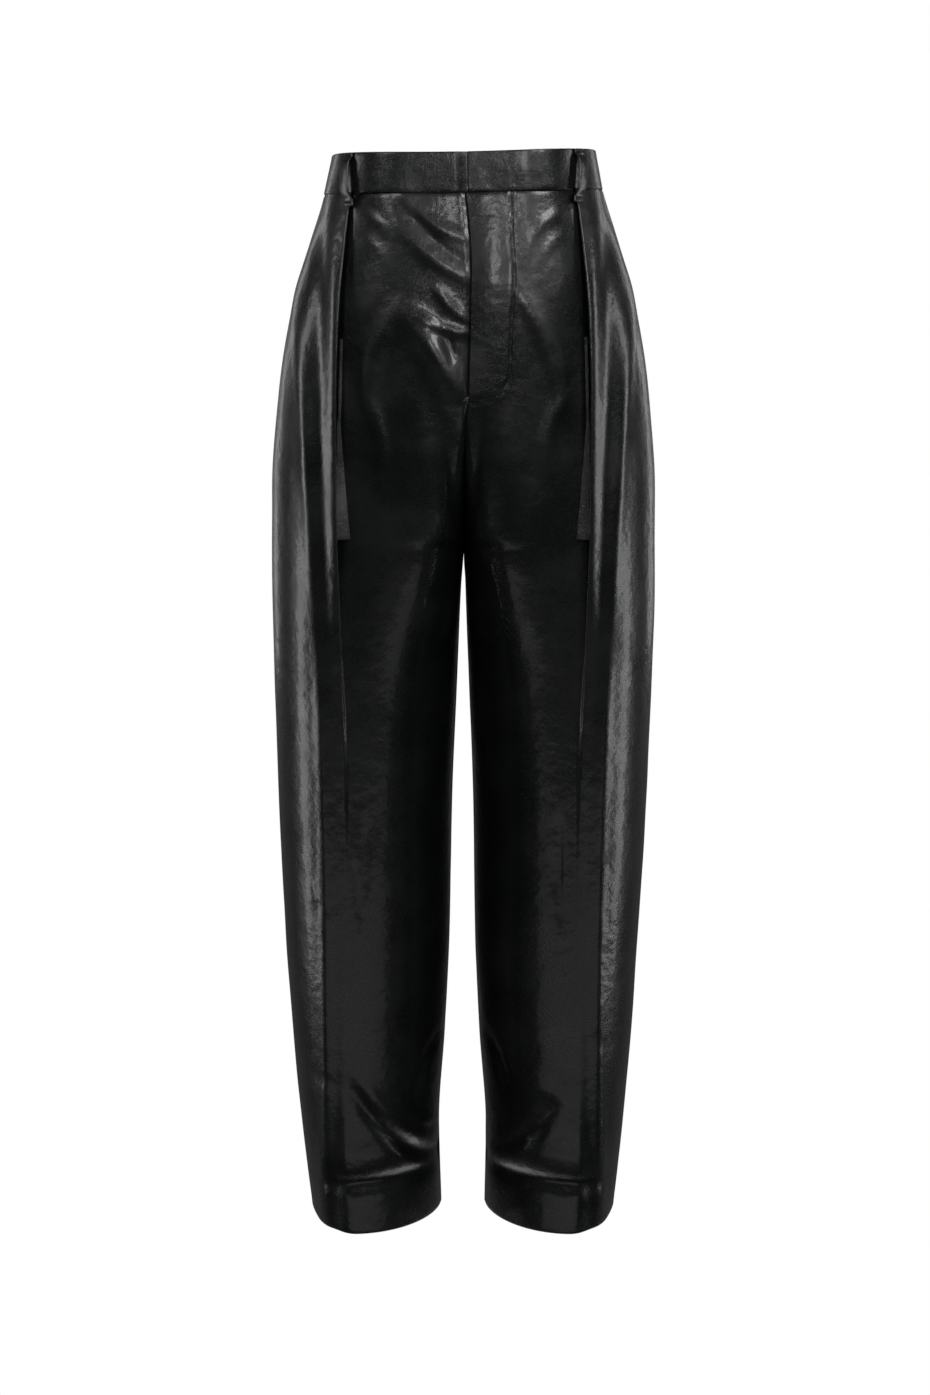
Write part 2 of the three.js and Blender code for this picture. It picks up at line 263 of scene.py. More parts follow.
leatherLooks = {
    "glossy black leather": {
        "black": (0.0048, 0.0056, 0.006, 1),
        "paler": (0.0105, 0.0115, 0.0122, 1),
        "roughness": (0.19, 0.31),
        "grain": 1.7,  # how wide a pebble of the grain is
        "grainDepth": 0.05,
        "dents": 0.2,
    },
    "glossy black leather, stretched": {
        "black": (0.0048, 0.0056, 0.006, 1),
        "paler": (0.012, 0.013, 0.0137, 1),
        "roughness": (0.18, 0.28),
        "grain": 1.4,
        "grainDepth": 0.045,
        "dents": 0.18,
    },
    # the welts' leather is lightened to grey all over: a painted highlight, over real grain and
    # dents
    "welt leather, painted highlight": {
        "black": (0.04, 0.041, 0.042, 1),
        "paler": (0.14, 0.142, 0.145, 1),
        "roughness": (0.32, 0.46),
        "grain": 2.1,
        "grainDepth": 0.42,
        "dents": 0.4,
    },
}


def leatherMaterial(name):
    look = leatherLooks[name]
    material = bpy.data.materials.new(name)
    material.use_nodes = True
    tree = material.node_tree
    tree.nodes.clear()
    where = node(tree, "ShaderNodeTexCoord").outputs["Object"]
    warp = node(tree, "ShaderNodeTexNoise", Vector=where, Scale=260, Detail=2)
    bent = node(tree, "ShaderNodeVectorMath", {"operation": "MULTIPLY_ADD"})
    tree.links.new(warp.outputs["Color"], bent.inputs[0])
    bent.inputs[1].default_value = (0.0012, 0.0012, 0.0012)
    tree.links.new(where, bent.inputs[2])
    pebbles = node(
        tree, "ShaderNodeTexVoronoi", {"feature": "DISTANCE_TO_EDGE"},
        Vector=bent.outputs[0], Scale=1000 / look["grain"],
    )
    raised = node(
        tree, "ShaderNodeMapRange", {"interpolation_type": "SMOOTHSTEP"},
        Value=pebbles.outputs["Distance"], From_Max=0.3,
    )
    pores = node(tree, "ShaderNodeTexNoise", Vector=where, Scale=1900, Detail=3)
    dents = node(tree, "ShaderNodeTexNoise", Vector=where, Scale=62, Detail=2.5, Roughness=0.55)
    patches = node(tree, "ShaderNodeTexNoise", Vector=where, Scale=21, Detail=3)
    wear = node(tree, "ShaderNodeAttribute", {"attribute_name": "wear"})

    # faded where it creases and turns, and in faint patches
    fading = node(
        tree, "ShaderNodeMapRange", Value=patches.outputs["Fac"], From_Min=0.45, From_Max=0.8,
    )
    fadedBy = node(tree, "ShaderNodeMath", {"operation": "ADD", "use_clamp": True})
    tree.links.new(fading.outputs[0], fadedBy.inputs[0])
    tree.links.new(wear.outputs["Fac"], fadedBy.inputs[1])
    colour = node(tree, "ShaderNodeMix", {"data_type": "RGBA"}, Factor=fadedBy.outputs[0])
    colour.inputs[6].default_value = look["black"]
    colour.inputs[7].default_value = look["paler"]

    # rougher in the grooves between pebbles
    smooth, rough = look["roughness"]
    patchy = node(
        tree, "ShaderNodeMapRange", Value=patches.outputs["Fac"],
        From_Min=0.3, From_Max=0.7, To_Min=smooth, To_Max=rough,
    )
    grooves = node(
        tree, "ShaderNodeMapRange", Value=raised.outputs[0], To_Min=0.12, To_Max=0,
    )
    roughness = node(tree, "ShaderNodeMath", {"operation": "ADD"})
    tree.links.new(patchy.outputs[0], roughness.inputs[0])
    tree.links.new(grooves.outputs[0], roughness.inputs[1])

    soft = node(
        tree, "ShaderNodeBump", Height=dents.outputs["Fac"], Distance=look["dents"] * mm * 4,
        Strength=1,
    )
    grained = node(
        tree, "ShaderNodeBump", Height=raised.outputs[0], Distance=look["grainDepth"] * mm,
        Strength=1, Normal=soft.outputs[0],
    )
    pored = node(
        tree, "ShaderNodeBump", Height=pores.outputs["Fac"], Distance=0.02 * mm,
        Strength=1, Normal=grained.outputs[0],
    )
    shader = node(
        tree, "ShaderNodeBsdfPrincipled", Base_Color=colour.outputs[2],
        Roughness=roughness.outputs[0], Normal=pored.outputs[0], IOR=1.5,
        Coat_Weight=0.3, Coat_Roughness=0.14, Coat_IOR=1.5, Coat_Normal=soft.outputs[0],
    )
    node(tree, "ShaderNodeOutputMaterial", Surface=shader.outputs[0])
    return material


def plainMaterial(name, colour, roughness, speckle, speckleSize, sheen=0):
    # suede and thread: a base colour that varies in fine fibres, with a matching bump
    material = bpy.data.materials.new(name)
    material.use_nodes = True
    tree = material.node_tree
    tree.nodes.clear()
    where = node(tree, "ShaderNodeTexCoord").outputs["Object"]
    fibres = node(tree, "ShaderNodeTexNoise", Vector=where, Scale=1000 / speckleSize, Detail=4)
    mixed = node(tree, "ShaderNodeMix", {"data_type": "RGBA"}, Factor=fibres.outputs["Fac"])
    mixed.inputs[6].default_value = (*[c * (1 - speckle) for c in colour], 1)
    mixed.inputs[7].default_value = (*[c * (1 + speckle) for c in colour], 1)
    bump = node(tree, "ShaderNodeBump", Height=fibres.outputs["Fac"], Distance=0.15 * mm, Strength=1)
    shader = node(
        tree, "ShaderNodeBsdfPrincipled", Base_Color=mixed.outputs[2], Roughness=roughness,
        Normal=bump.outputs[0], Sheen_Weight=sheen, Sheen_Roughness=0.5,
    )
    node(tree, "ShaderNodeOutputMaterial", Surface=shader.outputs[0])
    return material


leather = leatherMaterial("glossy black leather")
stretched = leatherMaterial("glossy black leather, stretched")
# painted highlight: the welt strips are lightened to grey
weltPaintedHighlight = leatherMaterial("welt leather, painted highlight")
suede = plainMaterial("suede side", (0.022, 0.021, 0.021), 0.9, 0.35, 0.9, 0.3)
thread = plainMaterial("black thread", (0.012, 0.012, 0.013), 0.42, 0.3, 0.2)
print("materials made")


def makePiece(name, points, faces, materials, wear=None):
    mesh = bpy.data.meshes.new(name)
    mesh.from_pydata((np.asarray(points) * mm).tolist(), [], [list(map(int, f)) for f in faces])
    for material in materials:
        mesh.materials.append(material)
    mesh.polygons.foreach_set("use_smooth", [True] * len(mesh.polygons))
    worn = mesh.attributes.new("wear", "FLOAT", "POINT")
    if wear is not None:
        worn.data.foreach_set("value", np.asarray(wear, float).ravel())
    mesh.update()
    piece = bpy.data.objects.new(name, mesh)
    bpy.context.scene.collection.objects.link(piece)
    return piece


def finishPiece(piece, slot, *nodes):
    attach(piece, "root")
    if nodes:
        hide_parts(*nodes)


def gridFaces(rows, columns, flip=False, ring=False):
    # quads over a grid of points; a ring joins the last column to the first
    last = columns if ring else columns - 1
    r, c = np.meshgrid(np.arange(rows - 1), np.arange(last), indexing="ij")
    a = r * columns + c
    b = r * columns + (c + 1) % columns
    quads = np.stack([a, a + columns, b + columns, b], -1).reshape(-1, 4)
    return quads[:, ::-1] if flip else quads


def columnsFor(length, count, spots):
    # places along a length, crowded around each spot: where, half width, how much closer
    fine = np.linspace(0, length, 400)
    density = 1 + sum(gain * np.exp(-(((fine - at) / width) ** 2)) for at, width, gain in spots)
    density = np.broadcast_to(density, fine.shape)
    passed = np.concatenate([[0], np.cumsum((density[1:] + density[:-1]) / 2 * np.diff(fine))])
    return np.interp(np.linspace(0, passed[-1], count), passed, fine)


# Creases and soft ridges on each panel: from one point to another, bowing sideways by bend, with
# half width and height. A negative height is a trough. A point is the distance from the centre
# line and the level.
frontFolds = [
    # long soft folds of the side layer
    [159, -130, 142, -1060, -18, 7, 2.8],
    [139, -20, 134, -460, 0, 9, -4.0],
    [121, -90, 120, -400, 0, 5, 1.2],
    [124, -480, 127, -1000, 0, 9, -1.3],
    [134, -992, 134, -1040, 0, 5, 1.8],
    # waist: folds that fan out from the pleat under the band
    [106, -37, 64, -62, -7, 5, 0.7],
    [102, -56, 70, -84, -4, 5, 0.5],
    # a bulge over the turned-up hem and the tuck beneath it
    [52, -956, 122, -960, 2, 15, 2.2],
    [36, -984, 130, -986, 2, 8, -4.2],
]
backFolds = [
    [122, -245, 125, -900, 3, 14, 5.0],
    [61, -425, 69, -900, -3, 16, -3.0],
    [62, -14, 67, -122, 0, 2.4, -1.1],
    [41, -961, 113, -965, 2, 15, 2.4],
    [34, -985, 125, -987, 2, 8, -5.0],
]
creases = {
    "frontRight": frontFolds + [
        [56, -20, 2, -60, 5, 6, 1.6],
        [48, -31, 8, -80, 5, 5.5, -1.2],
        [68, -36, -2, -98, 6, 8, 1.9],
        [26, -108, 0, -136, 2, 4.5, 1.4],
        [42, -130, 2, -147, 3, 5, 2.2],
        [45, -138, 5, -212, -2, 12, 7.4],
        [24, -138, 7, -180, 0, 5, -2.0],
        [11, -150, 9, -182, 0, 3, 1.4],
        [62, -122, 90, -210, 6, 10, 3.2],
        [90, -206, 76, -275, -5, 7, 1.8],
        [38, -232, 11, -346, 2, 11, 1.6],
        [17, -226, 5, -330, 1, 5, -1.6],
        [92, -618, 93, -680, 0, 3, -1.5],
        [160, -640, 172, -634, 1, 3, -0.8],
        [106, -888, 30, -972, 6, 7, -4.4],
        [98, -878, 38, -948, 6, 7, 2.2],
        [28, -850, 46, -900, 2, 5, -2.4],
        [60, -906, 30, -938, 3, 5, 2.0],
        [104, -655, 100, -712, 0, 3, -1.4],
        [168, -628, 158, -624, 1, 3, -0.8],
        [146, -700, 120, -694, 2, 4, -0.8],
        [150, -872, 128, -880, 1, 4, -0.9],
        [121, -368, 124, -372, 0, 2.5, -1.0],
    ],
    "frontLeft": frontFolds + [
        [25, -30, 26, -150, 0, 20, 2.4],
        [35, -236, 11, -346, 2, 11, 1.5],
        [15, -226, 5, -330, 1, 5, -1.5],
        [57, -116, 92, -212, 6, 10, 3.2],
        [92, -210, 77, -270, -5, 7, 2.0],
        [92, -612, 94, -672, 0, 3, -1.5],
        [27, -848, 44, -896, 2, 5, -3.0],
        [96, -892, 40, -958, 6, 8, -2.8],
        [60, -880, 104, -902, 3, 8, 1.6],
        [90, -660, 96, -716, 0, 4, -1.4],
        [172, -770, 156, -776, 1, 3, -0.8],
        [148, -640, 126, -646, 2, 4, -0.8],
        [146, -840, 122, -834, 1, 4, -0.9],
    ],
    "backRight": backFolds + [
        [20, -352, 110, -300, -6, 10, -2.6],
        [24, -392, 120, -352, -6, 11, -2.2],
        [30, -372, 104, -330, -6, 9, 2.0],
        [34, -560, 110, -588, 6, 11, -2.4],
        [40, -600, 120, -618, 6, 10, 2.0],
        [36, -640, 128, -652, 5, 10, -2.0],
    ],
    "backLeft": backFolds + [
        [20, -356, 116, -296, -6, 10, -2.6],
        [26, -398, 118, -362, -6, 11, -2.0],
        [30, -376, 108, -326, -6, 9, 2.0],
        [38, -552, 116, -580, 6, 11, -2.2],
        [36, -596, 112, -622, 6, 10, 2.2],
        [42, -646, 124, -646, 5, 10, -1.8],
    ],
}
dents = {
    "frontRight": 3,
    "frontLeft": 5,
    "backRight": 7,
    "backLeft": 9,
}

# The stitched line of the fly on the wearer's left front: distance from the centre, and level.
flyLine = [
    [43.5, -18],
    [44.2, -59],
    [46.4, -88],
    [46.6, -103],
    [44.2, -128],
    [43, -160],
    [43, -180],
    [40.4, -192],
    [31, -203.5],
    [19, -210],
    [4, -212],
]
fly = {
    "lap": 1.2,  # how far the wearer's left front stands over the right
    "turn": 1.1,  # radius of its folded edge
    "lapFades": (42, 6),  # from and to these distances from the edge it rises to the lap
    "underlap": 8,  # the right front runs on this far beneath it
    "sink": 1.0,  # the right front sinks beneath it, softly and then more
    "sinkFades": (34, 14),
    "tuck": 2.2,
    "tuckFades": (11.5, 6.5),
    "below": 8,  # it dies away from this far below its end
    "above": 4,  # to this far above it
    "channel": 0.5,  # depth of the stitched line
    "channelWidth": 1.4,
    "shoulder": 0.3,  # height of the ridge beside the stitched line
}
seam = {
    "dip": 0.95,  # how far a panel's edge sinks into a seam
    "width": 3.4,
    "straight": 4,  # nothing draws the centre edges apart sideways this near to them
    "sideClear": 9,  # creases die away this near to the side seam
    "centreClear": 7,  # and this near to the centre seams
    "clearRun": 20,  # which starts over this height below the fly
}


def flyShare(z):
    # 1 along the fly, and 0 below it
    return float(ease(cut["flyEnd"] - fly["below"], cut["flyEnd"] + fly["above"], z))


def creaseHeight(x, z, x0, z0, x1, z1, bend, width, height):
    length = math.hypot(x1 - x0, z1 - z0)
    ux, uz = (x1 - x0) / length, (z1 - z0) / length
    along = ((x - x0) * ux + (z - z0) * uz) / length
    off = (z - z0) * ux - (x - x0) * uz - 4 * bend * along * (1 - along)
    fade = min(0.5, 2.2 * width / length + 0.1)
    shown = ease(-fade, fade, along) * (1 - ease(1 - fade, 1 + fade, along))
    return height * shown * np.exp(-((off / width) ** 2))


def crumple(x, z, seed, size, height):
    # soft uneven dents: a few slanting waves whose phases wander
    rng = np.random.default_rng(seed)
    total = np.zeros_like(x)
    for _ in range(9):
        angle = rng.uniform(0, math.pi)
        wave = rng.uniform(0.7, 1.6) * size
        slant = x * math.cos(angle + 1.9) + z * math.sin(angle + 1.9)
        wander = 1.3 * np.sin(slant / (2.3 * wave) + rng.uniform(0, 6))
        straight = x * math.cos(angle) + z * math.sin(angle)
        total += np.sin(straight / wave + wander + rng.uniform(0, 6))
    return height * total / 3


def alongLine(line, x, z):
    # the distance of each point from a broken line, and how far along that is
    best = np.full_like(x, 1e9)
    reached = np.zeros_like(x)
    passed = 0
    for (x0, z0), (x1, z1) in zip(line, line[1:]):
        length = math.hypot(x1 - x0, z1 - z0)
        t = np.clip(((x - x0) * (x1 - x0) + (z - z0) * (z1 - z0)) / length**2, 0, 1)
        gap = np.hypot(x - x0 - t * (x1 - x0), z - z0 - t * (z1 - z0))
        nearer = gap < best
        best = np.where(nearer, gap, best)
        reached = np.where(nearer, passed + t * length, reached)
        passed += length
    return best, reached


def relief(name, x, z):
    height = sum(creaseHeight(x, z, *row) for row in creases[name])
    height = height + crumple(x, z, dents[name], 15, 0.2) + crumple(x, z, dents[name] + 20, 40, 0.45)
    if name == "frontLeft":
        gap, reached = alongLine(flyLine, x, z)
        pucker = 1 + 0.35 * np.sin(reached / 2.1) + 0.25 * np.sin(reached / 5.3)
        height -= fly["channel"] * pucker * np.exp(-((gap / fly["channelWidth"]) ** 2))
        height += fly["shoulder"] * pucker * np.exp(-(((gap - 3) / 1.2) ** 2))
    return height


# Levels of the panels, closer together at the crotch and the hem. Below the hem's fold the rows
# go back up inside as the turned-up layer, which lies deeper by the fold's width.
hemFold = {"radius": 1.25, "turnUp": 38}
hemTurn = np.linspace(0, math.pi, 7)[1:]
hemStart = cut["hem"] + hemFold["radius"]
outerLevels = np.concatenate([
    np.linspace(cut["waistSeam"] + 0.8, -240, 100, endpoint=False),
    np.linspace(-240, -364, 56, endpoint=False),
    np.linspace(-364, -930, 96, endpoint=False),
    np.linspace(-930, hemStart, 36),
])
turnedLevels = np.linspace(hemStart, cut["hem"] + hemFold["turnUp"], 7)[1:]
levels = np.concatenate([
    outerLevels,
    cut["hem"] + hemFold["radius"] * (1 - np.sin(hemTurn)),
    turnedLevels,
])
tucks = np.concatenate([
    np.zeros(len(outerLevels)),
    -hemFold["radius"] * (1 - np.cos(hemTurn)),
    np.full(len(turnedLevels), -2 * hemFold["radius"]),
])


# How many columns each panel has: the front's sunken centre and its side, and the whole back.
panelColumns = {"centre": 68, "side": 50, "back": 104}


def closedFold(step, under):
    # the pleat's two turns: under the side, back along it and round its folded edge
    run, radius = pleatFold["run"], pleatFold["radius"]
    inner = (step - 1.2) / 4
    turn = np.linspace(-math.pi / 2, math.pi / 2, 6)
    first = np.stack([np.linspace(-run, under - inner, 8)[:-1], np.full(7, -step)], 1)
    underTurn = np.stack(
        [under - inner + inner * np.cos(turn), -step + inner + inner * np.sin(turn)], 1,
    )
    back = np.linspace(underTurn[-1], [radius, -2 * radius], 8)[1:-1]
    edgeTurn = np.stack([radius - radius * np.cos(turn), -radius + radius * np.sin(turn)], 1)
    last = np.stack([np.linspace(radius, run, 4)[1:], np.zeros(3)], 1)
    return np.concatenate([first, underTurn, back, edgeTurn, last]), len(edgeTurn) + len(last)


def frontRow(z, side):
    # one level of a front: lengths along it, how far out each point lies, how much of the
    # creases it shows and how worn it is
    inFly = flyShare(z)
    start = 0.1 + 1.1 * inFly if side > 0 else 0.1 - fly["underlap"] * inFly
    if inFly == 0:
        start = None
    line = PanelLine("front", z, start)
    edge = line.lengthAt(float(flowing(pleat, "edge", z)))
    step = float(flowing(pleat, "step", z, 8))
    opening = float(flowing(pleat, "open", z))
    run = pleatFold["run"]
    spots = [(0, 3.5, 4), (46, 6, 1.4), (edge - run, 5, 1.5)]
    s = columnsFor(edge - run, panelColumns["centre"], spots)
    if side > 0:
        lap = fly["lap"] * ease(*fly["lapFades"], s)
    else:
        lap = -fly["sink"] * ease(*fly["sinkFades"], s) - fly["tuck"] * ease(*fly["tuckFades"], s)
    centreOut = lap * inFly - step * (1 - ease(0, pleatFold["reach"], edge - s))
    turns, edgePoints = closedFold(step, float(flowing(pleat, "under", z)))
    count = len(turns)
    opened = (np.arange(count) + 0.5) / count
    along = turns[:, 0] + (-run + opened * 2 * run - turns[:, 0]) * opening
    out = turns[:, 1] + (-step * (1 - ease(0, 1, opened)) - turns[:, 1]) * opening
    far = edge + run + columnsFor(
        line.total - edge - run, panelColumns["side"], [(0, 6, 1), (28, 12, 0.8)],
    )
    centreFlat, sideFlat = np.zeros(len(s) - 1), np.zeros(len(far) - 1)
    shown = np.full(count, opening)
    shown[-edgePoints:] = 1
    shown[:3] = np.linspace(1, opening, 3)
    worn = np.zeros(count)
    worn[-edgePoints:-2] = 0.7 * (1 - opening)
    return (
        line,
        np.concatenate([s[:-1], edge + along, far[1:]]),
        np.concatenate([centreOut[:-1], out, sideFlat]),
        np.concatenate([centreFlat + 1, shown, sideFlat + 1]),
        np.concatenate([centreFlat, worn, sideFlat]),
    )


def backRow(z, side):
    line = PanelLine("back", z)
    s = columnsFor(line.total, panelColumns["back"], [(0, 5, 1.5), (line.total, 5, 1.5)])
    return line, s, np.zeros_like(s), np.ones_like(s), np.zeros_like(s)


def edgeDip(line, s, z, name):
    # the edges sink into their seams, and the fly's folded edge turns round
    width, dip = seam["width"], seam["dip"]

    def sinking(distance):
        return dip * (1 - np.sin(np.clip(distance / width, 0, 1) * math.pi / 2))

    # where the rise seams lie in the cleft between the legs they don't sink
    rise = float(curve(centre, "frontRise" if line.sign < 0 else "backRise", z))
    inner = sinking(s) * (1 - ease(0, 0.06, rise) * ease(-385, -352, z))
    if name == "frontLeft":
        inFly = flyShare(z)
        part = np.clip(s / fly["turn"], 0, 1)
        folded = fly["turn"] * (1 - np.sqrt(1 - (1 - part) ** 2))
        inner = inner + (folded - inner) * inFly
    return inner + sinking(line.total - s) + sinking(max(0, cut["waistSeam"] - z))


def keptAt(line, s, z):
    # creases die away at the side seam and, but for the fly, at the centre seams
    closed = 1 if line.sign > 0 else ease(cut["flyEnd"], cut["flyEnd"] - seam["clearRun"], z)
    atCentre = 1 - closed * (1 - ease(0, seam["centreClear"], s))
    return ease(0, seam["sideClear"], line.total - s) * atCentre


def buildPanel(name, makeRow, side):
    points, wear = [], []
    for z, tuck in zip(levels, tucks):
        line, s, out, shown, worn = makeRow(z, side)
        x = line.place(s)[:, 0]
        level = np.full_like(x, z)
        lift = (relief(name, x, level) * keptAt(line, s, z) - edgeDip(line, s, z, name)) * shown
        flat = line.offset(s, out + lift + tuck)
        if tuck == 0:
            flat[:, 0] = np.where(s < seam["straight"], np.minimum(flat[:, 0], x), flat[:, 0])
        newX, newZ = placed(flat[:, 0], level, side)
        points.append(np.stack([newX, flat[:, 1], newZ], 1))
        hemWear = 0.6 * math.exp(-(((z - cut["hem"]) / 3) ** 2))
        seamWear = 0.25 * np.exp(-((s / 3) ** 2)) + 0.25 * np.exp(-(((line.total - s) / 3) ** 2))
        wear.append(np.clip(worn + hemWear + seamWear, 0, 1))
    grid = np.array(points)
    # the way round that makes the faces look outwards
    flip = (makeRow is frontRow) == (side < 0)
    faces = gridFaces(*grid.shape[:2], flip)
    piece = makePiece(name, grid.reshape(-1, 3), faces, [leather, suede], wear)
    wall = piece.modifiers.new("thickness", "SOLIDIFY")
    wall.thickness = cut["leather"] * mm
    wall.offset = -1
    wall.material_offset = 1
    return piece


panels = {
    "frontRight": buildPanel("frontRight", frontRow, -1),
    "frontLeft": buildPanel("frontLeft", frontRow, 1),
    "backRight": buildPanel("backRight", backRow, -1),
    "backLeft": buildPanel("backLeft", backRow, 1),
}
nodeNames = {
    "frontRight": "front_right",
    "frontLeft": "front_left",
    "backRight": "back_right",
    "backLeft": "back_left",
}
for name, piece in panels.items():
    finishPiece(piece, "leather", nodeNames[name])
print("panels made")


waistband = {
    "thick": 3.0,
    "round": 1.3,
    "crown": 0.5,
    "corner": 4.5,  # the wearer's left half ends in a rounded lower corner
    "leftEnd": 3.0,  # from the centre line
    "underlap": 38,
    "uneven": 0.3,  # depth of its soft dents
    "dive": 3.5,  # how far the right half runs behind the left
}


def bandProfile():
    # round the band's section from the bottom of its face: levels and distances out
    thick, r, crown = waistband["thick"], waistband["round"], waistband["crown"]
    low, high = cut["waistSeam"] - 0.4, cut["waistTop"]
    face = np.linspace(low + r, high - r, 11)
    middle, half = (low + high) / 2, (high - low) / 2 - r
    arc = np.linspace(0, math.pi / 2, 5)
    z = np.concatenate([
        face,
        high - r + r * np.sin(arc[1:]),
        high - r + r * np.cos(arc),
        face[::-1][1:],
        low + r - r * np.sin(arc[1:]),
        low + r - r * np.cos(arc),
    ])
    out = np.concatenate([
        crown * (1 - ((face - middle) / half) ** 2),
        -r + r * np.cos(arc[1:]),
        -thick + r - r * np.sin(arc),
        np.full(10, -thick),
        -thick + r - r * np.cos(arc[1:]),
        -r + r * np.sin(arc),
    ])
    return z[:-1], out[:-1]


def bandHalf(name, side):
    z, out = bandProfile()
    low, high = z.min(), z.max()
    middle = (low + high) / 2
    start = -waistband["underlap"] if side < 0 else waistband["leftEnd"]
    shares = columnsFor(1, 110, [(0, 0.02, 8), (0.18, 0.05, 2)])
    columns = []
    for level, off in zip(z, out):
        front = PanelLine("front", level, start)
        back = PanelLine("back", level)
        s = shares * front.total
        x = front.place(s)[:, 0]
        # both ends are rounded, and the right half dives behind the left
        thinner = np.sqrt(1 - np.clip(1 - s / waistband["round"], 0, 1) ** 2)
        layer = -waistband["thick"] / 2 + (off + waistband["thick"] / 2) * thinner
        layer = layer + crumple(s, np.full_like(s, level), 31 + side, 13, waistband["uneven"])
        if side < 0:
            layer = layer - waistband["dive"] * (1 - ease(-2.5, 8.5, x))
        corner = waistband["corner"] if level < middle else waistband["round"]
        cutOff = corner * (1 - np.sqrt(1 - np.clip(1 - s / corner, 0, 1) ** 2))
        newZ = level + cutOff * (middle - level) / (high - middle)
        around = (1 - columnsFor(1, 90, [])[1:]) * back.total
        flat = np.concatenate([front.offset(s, layer), back.offset(around, np.full(89, off))])
        newZ = np.concatenate([newZ, np.full(89, level)])
        newX, newZ = placed(flat[:, 0], newZ, side)
        columns.append(np.stack([newX, flat[:, 1], newZ], 1))
    grid = np.array(columns).transpose(1, 0, 2)
    rows, around = grid.shape[:2]
    faces = gridFaces(rows, around, side < 0, True).tolist()
    caps = [list(range(around)), [(rows - 1) * around + i for i in range(around)]]
    caps[1 if side > 0 else 0].reverse()
    wear = np.zeros((rows, around))
    wear[:, 11:19] = 0.5
    return makePiece(name, grid.reshape(-1, 3), faces + caps, [stretched], wear)


finishPiece(bandHalf("waistbandRight", -1), "leather_trim", "waistband_right")
finishPiece(bandHalf("waistbandLeft", 1), "leather_trim", "waistband_left")

shield = {"depth": 5, "thick": 1.2, "right": -12, "left": 36, "top": -18, "rows": 50, "columns": 20}


def flyShield():
    rows, columns = shield["rows"], shield["columns"]
    grid = []
    for z in np.linspace(shield["top"], cut["flyEnd"], rows):
        line = PanelLine("front", z, -40)
        x = np.linspace(shield["right"], shield["left"], columns)
        s = np.interp(x, line.points[:, 0], line.lengths)
        flat = line.offset(s, np.full(columns, -shield["depth"]))
        newX, newZ = placed(flat[:, 0], np.full(columns, z), 1)
        grid.append(np.stack([newX, flat[:, 1], newZ], 1))
    faces = gridFaces(rows, columns)
    piece = makePiece("flyShield", np.reshape(grid, (-1, 3)), faces, [stretched, suede])
    wall = piece.modifiers.new("thickness", "SOLIDIFY")
    wall.thickness = shield["thick"] * mm
    wall.offset = -1
    wall.material_offset = 1
    return piece


finishPiece(flyShield(), "leather_trim", "fly_shield")

# The pocket welt inside each pleat, a strip with a slanting edge on the sunken centre.
welt = {
    "start": -226,  # the slanting edge leaves the pleat at this level
    "top": -152,
    "end": -339,
    "width": 12,
    "under": 3,
    "thick": 0.9,
    "gap": 0.4,
    "lean": 4,  # how far it leans against the side layer at the bottom
    "rows": 64,
    "columns": 14,
}


def pocketWelt(name, side):
    panel = "frontRight" if side < 0 else "frontLeft"
    rows, columns = welt["rows"], welt["columns"]
    grid = []
    for z in np.linspace(welt["top"], welt["end"], rows):
        line = PanelLine("front", z)
        edge = line.lengthAt(float(flowing(pleat, "edge", z)))
        step = float(flowing(pleat, "step", z, 8))
        down = (z - welt["start"]) / (welt["end"] - welt["start"])
        slant = max(0.4, welt["width"] * down)
        along = np.linspace(-slant, welt["under"], columns)
        level = np.full(columns, z)
        sunk = step * (1 - ease(0, pleatFold["reach"], -along))
        lying = relief(panel, line.place(edge + along)[:, 0], level) - sunk
        turned = 0.5 * np.exp(-(((along + slant) / 1.2) ** 2))
        turned += 0.5 * math.exp(-(((z - welt["end"]) / 1.5) ** 2))
        uneven = 0.3 * np.sin(z / 6.1 + side) + 0.22 * np.sin(z / 2.3 + along / 2)
        uneven *= np.clip(-along / 8, 0, 1)
        uneven += welt["lean"] * max(0, down) * (1 + along / slant)
        flat = line.offset(edge + along, lying + welt["gap"] + welt["thick"] - turned + uneven)
        newX, newZ = placed(flat[:, 0], level, side)
        grid.append(np.stack([newX, flat[:, 1], newZ], 1))
    # the slanting edge comes first here, so the faces run as on the front panel
    faces = gridFaces(rows, columns, side < 0)
    # its leather is lightened to grey as a painted highlight
    piece = makePiece(name, np.reshape(grid, (-1, 3)), faces, [weltPaintedHighlight])
    wall = piece.modifiers.new("thickness", "SOLIDIFY")
    wall.thickness = welt["thick"] * mm
    wall.offset = -1
    return piece


finishPiece(pocketWelt("pocketWeltRight", -1), "leather_trim", "pocket_welt_right")
finishPiece(pocketWelt("pocketWeltLeft", 1), "leather_trim", "pocket_welt_left")

# A belt loop: a folded strap sewn down at both ends, standing off the band between them.
loopSize = {"width": 11, "thick": 2.2, "round": 0.9, "gap": 0.3, "rows": 56}
loopPath = table("z off", [
    [19.5, 0.2],
    [15.5, 0.2],
    [13.5, 2.2],
    [10, 5],
    [0, 6],
    [-10, 6],
    [-17, 5],
    [-21.5, 2],
    [-24, 0.4],
    [-29.5, 0.4],
])


def strapSection(width, thick, r):
    # a rounded oblong: across the strap and out from its inner face
    turn = np.linspace(0, math.pi / 2, 4)
    corners = [(width / 2 - r, thick - r), (r - width / 2, thick - r)]
    corners += [(r - width / 2, r), (width / 2 - r, r)]
    points = []
    for i, (x, y) in enumerate(corners):
        angle = turn + i * math.pi / 2
        points.append(np.stack([x + r * np.cos(angle), y + r * np.sin(angle)], 1))
    return np.concatenate(points)


